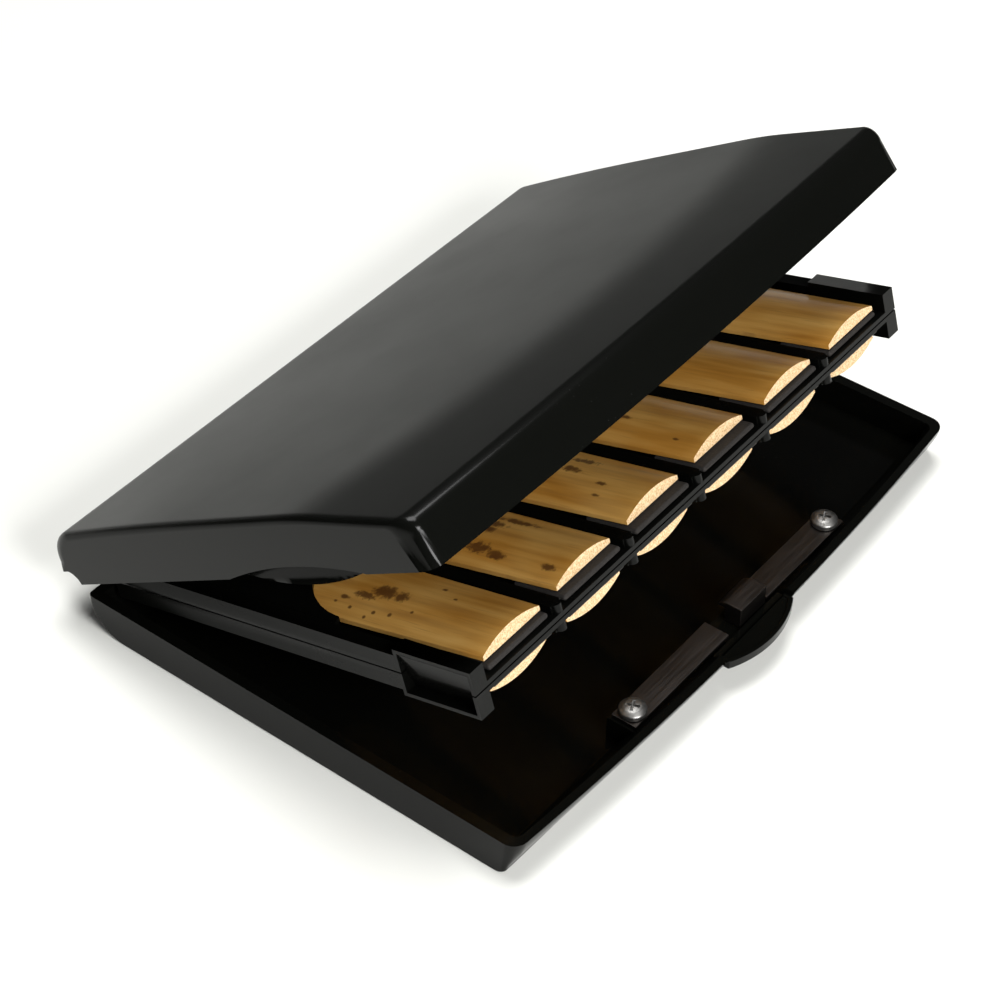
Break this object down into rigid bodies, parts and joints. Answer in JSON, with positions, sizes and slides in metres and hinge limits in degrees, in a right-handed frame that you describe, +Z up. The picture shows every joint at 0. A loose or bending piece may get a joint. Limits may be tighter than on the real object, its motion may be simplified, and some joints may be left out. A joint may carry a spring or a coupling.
{
  "type": "saxophone reed case",
  "caption": "Flat hinged case with a domed lid and a double-sided hinged tray that holds woodwind reeds on both faces, closed by a thumb latch.",
  "frame": {"origin": "centre of the base's flat bottom, midway between its ends and between the corners of its front and its rear wall", "axes": "+X along the hinge, -Y toward the latch side that opens, +Z up from the surface it stands on"},
  "size_m": [0.133, 0.1072, 0.0675],
  "materials": {
    "shell_black": "glossy black moulded plastic",
    "tray_black": "satin black moulded plastic",
    "pad_grey": "matte dark grey rubber",
    "cane": "golden cane with a satin bark",
    "dark_steel": "dark coated spring steel",
    "bright_steel": "bright plated steel"
  },
  "bodies": {
    "base": {"base_shell": "shell_black", "hinge_pin_left": "bright_steel", "hinge_pin_right": "bright_steel", "latch_leaf_near": "dark_steel", "latch_leaf_far": "dark_steel", "latch_screw_near": "bright_steel", "latch_screw_far": "bright_steel"},
    "tray": {"tray_upper_half": "tray_black", "tray_lower_half": "tray_black", "reed_upper_1": "cane", "pad_upper_1": "pad_grey", "reed_upper_2": "cane", "pad_upper_2": "pad_grey", "reed_upper_3": "cane", "pad_upper_3": "pad_grey", "reed_upper_4": "cane", "pad_upper_4": "pad_grey", "reed_upper_5": "cane", "pad_upper_5": "pad_grey", "reed_upper_6": "cane", "pad_upper_6": "pad_grey", "reed_lower_1": "cane", "pad_lower_1": "pad_grey", "reed_lower_2": "cane", "pad_lower_2": "pad_grey", "reed_lower_3": "cane", "pad_lower_3": "pad_grey", "reed_lower_4": "cane", "pad_lower_4": "pad_grey", "reed_lower_5": "cane", "pad_lower_5": "pad_grey", "reed_lower_6": "cane", "pad_lower_6": "pad_grey"},
    "lid": {"lid_shell": "shell_black", "lid_catch": "tray_black"},
    "latch": {"latch_thumb_tab": "shell_black", "latch_hook": "dark_steel"}
  },
  "joints": [
    {"name": "tray_hinge", "type": "hinge", "parent": "base", "child": "tray", "pos_m": [0, 0.0499, 0.0059], "axis": [-1, 0, 0], "range_deg": [-15.8, 29.2]},
    {"name": "lid_hinge", "type": "hinge", "parent": "tray", "child": "lid", "pos_m": [0, 0.0499, 0.0059], "axis": [-1, 0, 0], "range_deg": [-16.5, 58.5]},
    {"name": "latch_rock", "type": "hinge", "parent": "base", "child": "latch", "pos_m": [0, -0.04375, 0.0066], "axis": [1, 0, 0], "range_deg": [0, 10], "stiffness_Nm_per_rad": 0.1}
  ]
}
